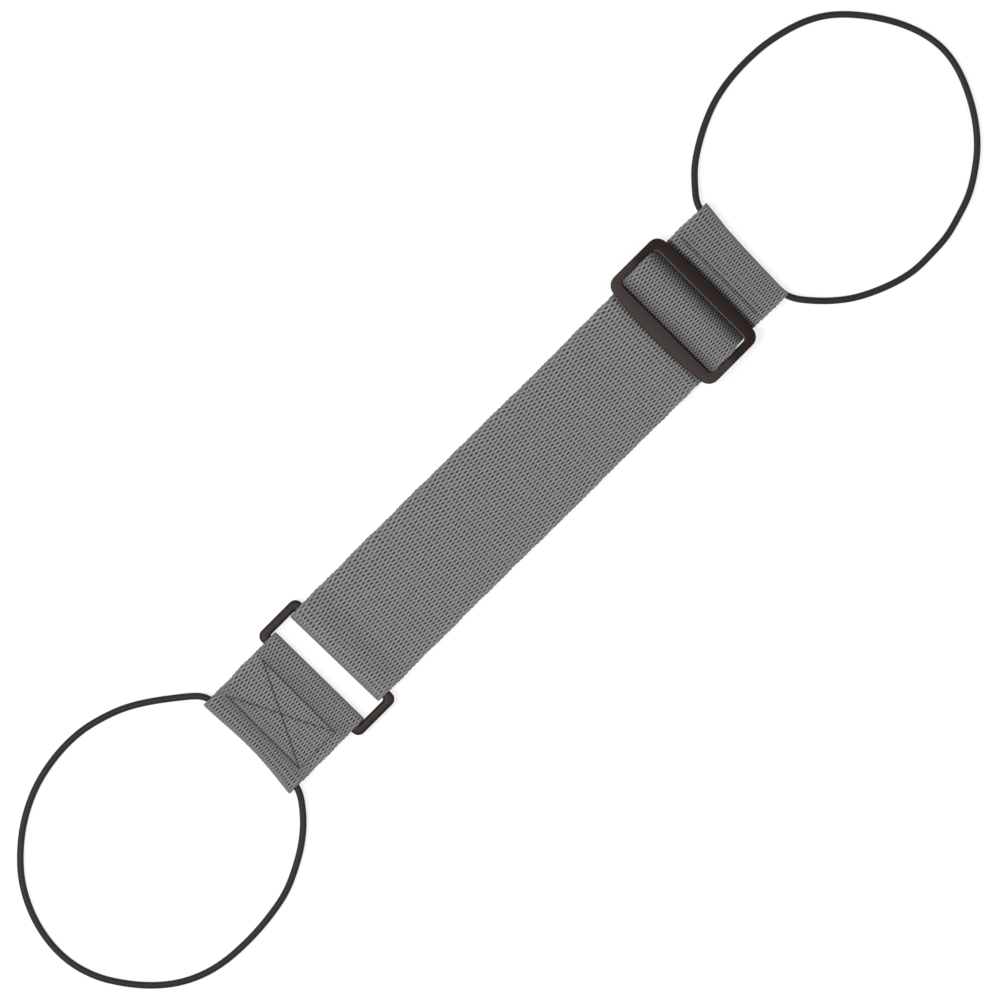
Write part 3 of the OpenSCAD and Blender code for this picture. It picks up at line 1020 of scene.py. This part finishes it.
class STRAP_OT_long_strap(bpy.types.Operator):
    """Adds the long strap: its turn in the ring, its two runs, its way over the slider and its end"""
    bl_idname = "strap.long_strap"
    bl_label = "Long Strap"

    def execute(self, context):
        turn = band("strap_turn_webbing", turn_path(), -TURN_END, TURN_END, bend=turned, steepest=0.62)
        weave_in(turn, "strap", "strap_turn")

        top_end = SEWN_X - RISE_BEFORE
        half = (TURN_END + top_end) / 2
        self.run("strap_top_run", "ring_half", (TURN_END, half), Z1, top_end)
        self.run("strap_top_run", "slider_half", (half, top_end), Z1, top_end)
        # The last of the top run lies on the sewn end, so it goes with the slider
        onto_end = [(top_end, Z1), (top_end + RISE_LEVEL, Z1), (SEWN_X + RISE_UP, Z2), (OVER_START, Z2)]
        rise = band("strap_top_run_rise", onto_end, top_end, OVER_START)
        weave_in(rise, "adjuster", "strap_top_run")
        half = (TURN_END + SEWN_X) / 2
        self.run("strap_under_run", "slider_half", (SEWN_X, half), Z0, SEWN_X)
        self.run("strap_under_run", "ring_half", (half, TURN_END), Z0, SEWN_X)

        over = band("strap_over_bar_webbing", over_bar_path(), OVER_START, OVER_END, step=0.36 * MM,
                    bend=humped, pace=hump_pace, give=hidden, tone=hump_painted_shade,
                    close=hump_close, depth=1.15, steepest=1.2)
        weave_in(over, "adjuster", "strap_over_bar")

        loop = band("strap_bar_loop_webbing", bar_loop_path(), end_u=-SEWN_X, fine=192, bend=spread)
        weave_in(loop, "adjuster", "strap_bar_loop", "strap_sewn_end")

        slant = context.scene.strap_webbing.slant
        # The tail is drawn out a long way, so its weave is only in its material
        tail = band("strap_tail_webbing", [(OVER_END, Z1), (TAIL_END, Z1)], OVER_END, step=0.06 * MM,
                    drift=float(row_drift(OVER_END)) - OVER_END * slant, **BEYOND)
        dress(tail, "webbing_run")
        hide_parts("strap_tail")
        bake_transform(tail)

        fold = band("upper_tunnel_webbing", upper_tunnel_path(), TAIL_END, step=0.2 * MM, bend=skewed,
                    pace=0.9, steepest=0.52, rows=[upper_row(x) for x in (-0.42 * MM, 0.42 * MM)], **BEYOND)
        weave_in(fold, "upper_end", "upper_tunnel_fold")
        return {"FINISHED"}

    def run(self, node, part, ends, z, run_end):
        """A part of a run, which grows shorter as the slider comes down to the ring."""
        piece = band(f"{node}_{part}", [(x, z) for x in ends], start_u=ends[0], drift=0.0)
        stand_in(add_relief(piece, live=True), "strap", "webbing_run", node)
        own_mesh(piece)


def short_steepest(x):
    return np.where(x < -130 * MM, 0.52, 0.78)


def short_pace(x):
    return level(x, (-116, 1.043), (-113.5, 1.22))


# Painted shade on the slopes that rise to the cord's tunnel and to the ring's bar
def short_painted_shade(x):
    return level(x, (-140, 0.92), (-136.5, 0.8), (-134.5, 0.99), (-116, 0.99), (-113.5, 0.82),
                 (-109, 0.87), (-106, 0.96))


def pulled(x, y):
    """The cord draws the end in, and the ring's turn isn't quite square."""
    reach = ramp(BOX_LOW.x - x, BOX_LOW.x - LOWER_TUNNEL.x)
    drawn = profile(y, (-25, -1.7), (-18, -0.9), (-12, -0.25), (-5, 0.25), (3, 0.3), (9, 0.05), (15, -0.4),
                    (25, -0.9))
    turn = ramp(x - BOX_HIGH.x, 10 * MM)
    wide = ramp(x + 130 * MM, 6 * MM) * ramp(y, HALF_W) * 0.35 * MM
    return reach * drawn + turn * (0.5 * MM - 0.012 * y), wide - 0.4 * MM


class STRAP_OT_short_strap(bpy.types.Operator):
    """Adds the short strap between the ring and the lower cord"""
    bl_idname = "strap.short_strap"
    bl_label = "Short Strap"

    def execute(self, context):
        piece = band("short_strap_webbing", short_strap_path(), end_u=BAR_B.x, step=0.34 * MM, bend=pulled,
                     pace=short_pace, drift=lambda x: x * 0.01, close=1.12, depth=1.12, tone=short_painted_shade,
                     steepest=short_steepest, rows=box_rows())
        weave_in(piece, "lower_end", "short_strap_turn", "short_strap_fold")
        return {"FINISHED"}


def rounded_loop(centre, size, radius):
    """The outline of a rectangle with rounded corners, whose long sides are cut fine enough to bow."""
    deselect()
    bpy.ops.mesh.primitive_plane_add(size=1, location=centre)
    loop = bpy.context.object
    loop.scale = (*size, 1)
    apply_place()
    mode("EDIT")
    bpy.ops.mesh.select_mode(type="VERT")
    pick()
    bpy.ops.mesh.bevel(offset=radius, segments=8, affect="VERTICES")
    pick()
    bpy.ops.mesh.delete(type="ONLY_FACE")
    bpy.ops.mesh.select_mode(type="EDGE")
    pick("DESELECT")
    mode("OBJECT")
    for edge in loop.data.edges:
        a, b = (loop.data.vertices[k].co for k in edge.vertices)
        edge.select = abs(a.x - b.x) < 1e-6 and abs(a.y - b.y) > size[1] / 2
    mode("EDIT")
    bpy.ops.mesh.subdivide(number_cuts=23)
    mode("OBJECT")
    return loop


def frame_plate(name, centre, outer, outer_r, inner, inner_r, depth, bevel, near_bow=0.0, far_bow=0.0):
    """A flat frame with rounded corners, a window and softened edges, modelled from two bevelled planes."""
    outline = rounded_loop(centre, outer, outer_r)
    points = places(outline)
    offset = points - np.array(centre)
    t = ramp(np.abs(offset[:, 1]), outer[1] / 2 - outer_r)
    on_side = np.abs(offset[:, 0]) > outer[0] / 2 - 1e-5
    points[:, 0] += on_side * (1 - t ** 2) * np.where(offset[:, 0] < 0, -near_bow, far_bow)
    put(outline, points)
    obj = join(name, [outline, rounded_loop(centre, inner, inner_r)])
    mode("EDIT")
    pick()
    bpy.ops.mesh.bridge_edge_loops()
    pick()
    bpy.ops.mesh.extrude_region_move(TRANSFORM_OT_translate={"value": (0, 0, depth)})
    pick()
    bpy.ops.mesh.normals_make_consistent(inside=False)
    mode("OBJECT")
    put(obj, places(obj) - np.array([0, 0, depth / 2]))
    modify(obj, "soft_edges", "BEVEL", width=bevel, segments=5, limit_method="ANGLE",
           angle_limit=math.radians(50))
    return obj


def mark_edge_wear_and_painted_light(obj, depth, bevel, patina, rubbed_edge_painted_highlight=None):
    """What the finish reads: the edges' paint, near-black shade with a copper tint of worn metal, which is 1
    along the edge that the strap rubs, where it is a pale painted highlight; and how much darker the finish
    is.
    """
    points = places(obj)
    carry(obj, "patina", np.full(len(points), patina))
    height = np.abs(points[:, 2] - (points[:, 2].max() + points[:, 2].min()) / 2)
    # How far down the bevel each point lies, as a share of it
    down = (depth / 2 - height) / bevel
    # Near-black painted shade on the edges, and a pale painted highlight where the strap rubs
    wear = np.where((down < 0.6) & (down > 0.1), 0.7, 0.0)
    if rubbed_edge_painted_highlight is not None:
        wear[(down < 1.05) & (down > 0.05) & (np.abs(points[:, 0] - rubbed_edge_painted_highlight) < 1.3 * MM)] = 1
    carry(obj, "wear", wear)


class STRAP_OT_slider(bpy.types.Operator):
    """Adds the slider: a flat bowed frame with a round centre bar"""
    bl_idname = "strap.slider"
    bl_label = "Slider"

    CORNER_R, WINDOW_CORNER_R, BEVEL = 4.9 * MM, 2 * MM, 0.6 * MM
    # How far the centre bar reaches into the end bars, both together
    SUNK = 1 * MM

    def execute(self, context):
        length, width, height = extent("slider_frame")
        settings = context.scene.strap_hardware
        thickness, near, far = settings.plate_t, settings.near_bow, settings.far_bow
        centre = Vector((SLIDER.x + (near - far) / 2, 0, SLIDER.z))
        window = (settings.window_l, width - 2 * settings.end_w)
        plate = frame_plate("slider_casting", centre, (length - near - far, width), self.CORNER_R,
                            window, self.WINDOW_CORNER_R, thickness, self.BEVEL, near, far)
        mark_edge_wear_and_painted_light(plate, thickness, self.BEVEL, 0.0, rubbed_edge_painted_highlight=centre.x + window[0] / 2)
        bar = cylinder(SLIDER, height / 2, window[1] + self.SUNK, 48)
        modify(plate, "centre_bar", "BOOLEAN", operation="UNION", solver="EXACT", object=bar)
        bpy.data.objects.remove(bar)
        smooth(35)
        stand_in(plate, "adjuster", "bronze", "slider_frame")
        return {"FINISHED"}


class STRAP_OT_ring(bpy.types.Operator):
    """Adds the rectangular ring"""
    bl_idname = "strap.ring"
    bl_label = "Rectangular Ring"

    CORNER_R, INNER_CORNER_R = 3.2 * MM, 1.2 * MM
    # How much darker the ring's finish is all over
    PATINA = 0.35

    def execute(self, context):
        length, width, bar = extent("rectangular_ring")
        bevel = bar * 0.36
        ring = frame_plate(
            "rectangular_ring_casting", middle("rectangular_ring"), (length, width), self.CORNER_R,
            (length - 2 * bar, width - 2 * bar), self.INNER_CORNER_R, bar, bevel)
        mark_edge_wear_and_painted_light(ring, bar, bevel, self.PATINA)
        smooth(35)
        stand_in(ring, "ring", "bronze", "rectangular_ring")
        return {"FINISHED"}


def stitch_row(start, end, height, thread, pitch, slant=0.0, fill=0.8):
    """Stitches from start to end on a surface. One is modelled, and each copy has its own mesh."""
    start, end = Vector(start), Vector(end)
    count = max(1, round((end - start).length / pitch))
    step = (end - start) / count
    turn = math.atan2(step.y, step.x) + slant
    length = step.length * fill
    rings, sides = 10, 8

    def place(i, j):
        t = i / rings - 0.5
        a = 2 * math.pi * (j % sides) / sides
        swell = np.sqrt(np.clip(1 - (2 * t) ** 4, 0.04, 1))
        y = np.cos(a) * thread / 2 * swell
        z = np.sin(a) * thread / 2 * swell + thread * 0.35 * (1 - (2 * t) ** 2) - thread * 0.1
        return np.column_stack([t * length, y, z]), {}

    model = wrapped_grid("stitch", rings, sides, place)
    copies = []
    for k in range(count):
        copy = model.copy()
        copy.data = model.data.copy()
        spot = start + step * (k + 0.5)
        rise = height(spot.x + step.x / 2) - height(spot.x - step.x / 2)
        copy.location = (*spot, height(spot.x))
        copy.rotation_euler = (0, -math.atan2(rise, step.length), turn)
        bpy.context.scene.collection.objects.link(copy)
        copies.append(copy)
    bpy.data.objects.remove(model)
    return copies


def surface(path):
    """The height of the webbing's upper face at any place along a path."""
    line = np.array(sorted(path))
    return lambda x: float(np.interp(x, line[:, 0], line[:, 1])) + WEB_T / 2


class STRAP_OT_stitching(bpy.types.Operator):
    """Adds the box stitch, the seam of the upper fold and the seam of the bar loop"""
    bl_idname = "strap.stitching"
    bl_label = "Stitching"

    # Rows that draw the webbing in less than this are buried in it
    BURIED = 0.3

    def execute(self, context):
        thread = context.scene.strap_stitches.thread_d
        short_strap = surface(short_strap_top())
        box = []
        for start, end, pitch, gap, amount, _ in box_rows():
            sunk = 0 if amount > self.BURIED else thread
            box += stitch_row(start, end, lambda x: short_strap(x) - thread * 0.5 - sunk, thread, pitch,
                              fill=1 - 0.5 * gap)
        stand_in(join("box_stitch_thread", box), "lower_end", "thread", "box_stitch")

        fold = upper_tunnel_path()
        upper_face = surface(fold[:fold.index(max(fold))])
        start, end, pitch = upper_row()[:3]
        seam = stitch_row(start, end, lambda x: upper_face(SEAM_X) - thread * 0.6, thread * 1.3, pitch,
                          slant=math.radians(5), fill=1.04)
        stand_in(join("upper_seam_thread", seam), "upper_end", "seam_thread", "upper_tunnel_seam")

        lowest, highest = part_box("bar_loop_seam")
        rows = []
        for x in (lowest.x + 0.5 * MM, highest.x - 0.5 * MM):
            rows += stitch_row((x, lowest.y), (x, highest.y), lambda x: lowest.z, thread,
                               context.scene.strap_stitches.pitch * 0.7)
        stand_in(join("bar_loop_thread", rows), "adjuster", "thread", "bar_loop_seam")
        return {"FINISHED"}


class STRAP_PT_panel(bpy.types.Panel):
    bl_label = "Webbing Strap"
    bl_idname = "STRAP_PT_panel"
    bl_space_type = "VIEW_3D"
    bl_region_type = "UI"
    bl_category = "Strap"

    def draw(self, context):
        for step in STEPS:
            self.layout.operator(step.bl_idname)
        for name, group in SETTINGS.items():
            box = self.layout.box()
            for prop in group.__annotations__:
                box.prop(getattr(context.scene, name), prop)


SETTINGS = {
    "strap_webbing": WebbingSettings,
    "strap_stitches": StitchSettings,
    "strap_hardware": HardwareSettings,
    "strap_cords": CordSettings,
    "strap_stage": StageSettings,
}
STEPS = (
    STRAP_OT_stage, STRAP_OT_cords, STRAP_OT_long_strap, STRAP_OT_short_strap,
    STRAP_OT_slider, STRAP_OT_ring, STRAP_OT_stitching,
)


def register():
    for group in (*SETTINGS.values(), *STEPS, STRAP_PT_panel):
        bpy.utils.register_class(group)
    for name, group in SETTINGS.items():
        setattr(bpy.types.Scene, name, bpy.props.PointerProperty(type=group))


def unregister():
    for name in SETTINGS:
        delattr(bpy.types.Scene, name)
    for group in (STRAP_PT_panel, *reversed(STEPS), *reversed(SETTINGS.values())):
        bpy.utils.unregister_class(group)


def main():
    register()
    bpy.ops.strap.stage()
    bpy.ops.strap.cords()
    bpy.ops.strap.long_strap()
    bpy.ops.strap.short_strap()
    bpy.ops.strap.slider()
    bpy.ops.strap.ring()
    bpy.ops.strap.stitching()


if __name__ == "__main__":
    main()
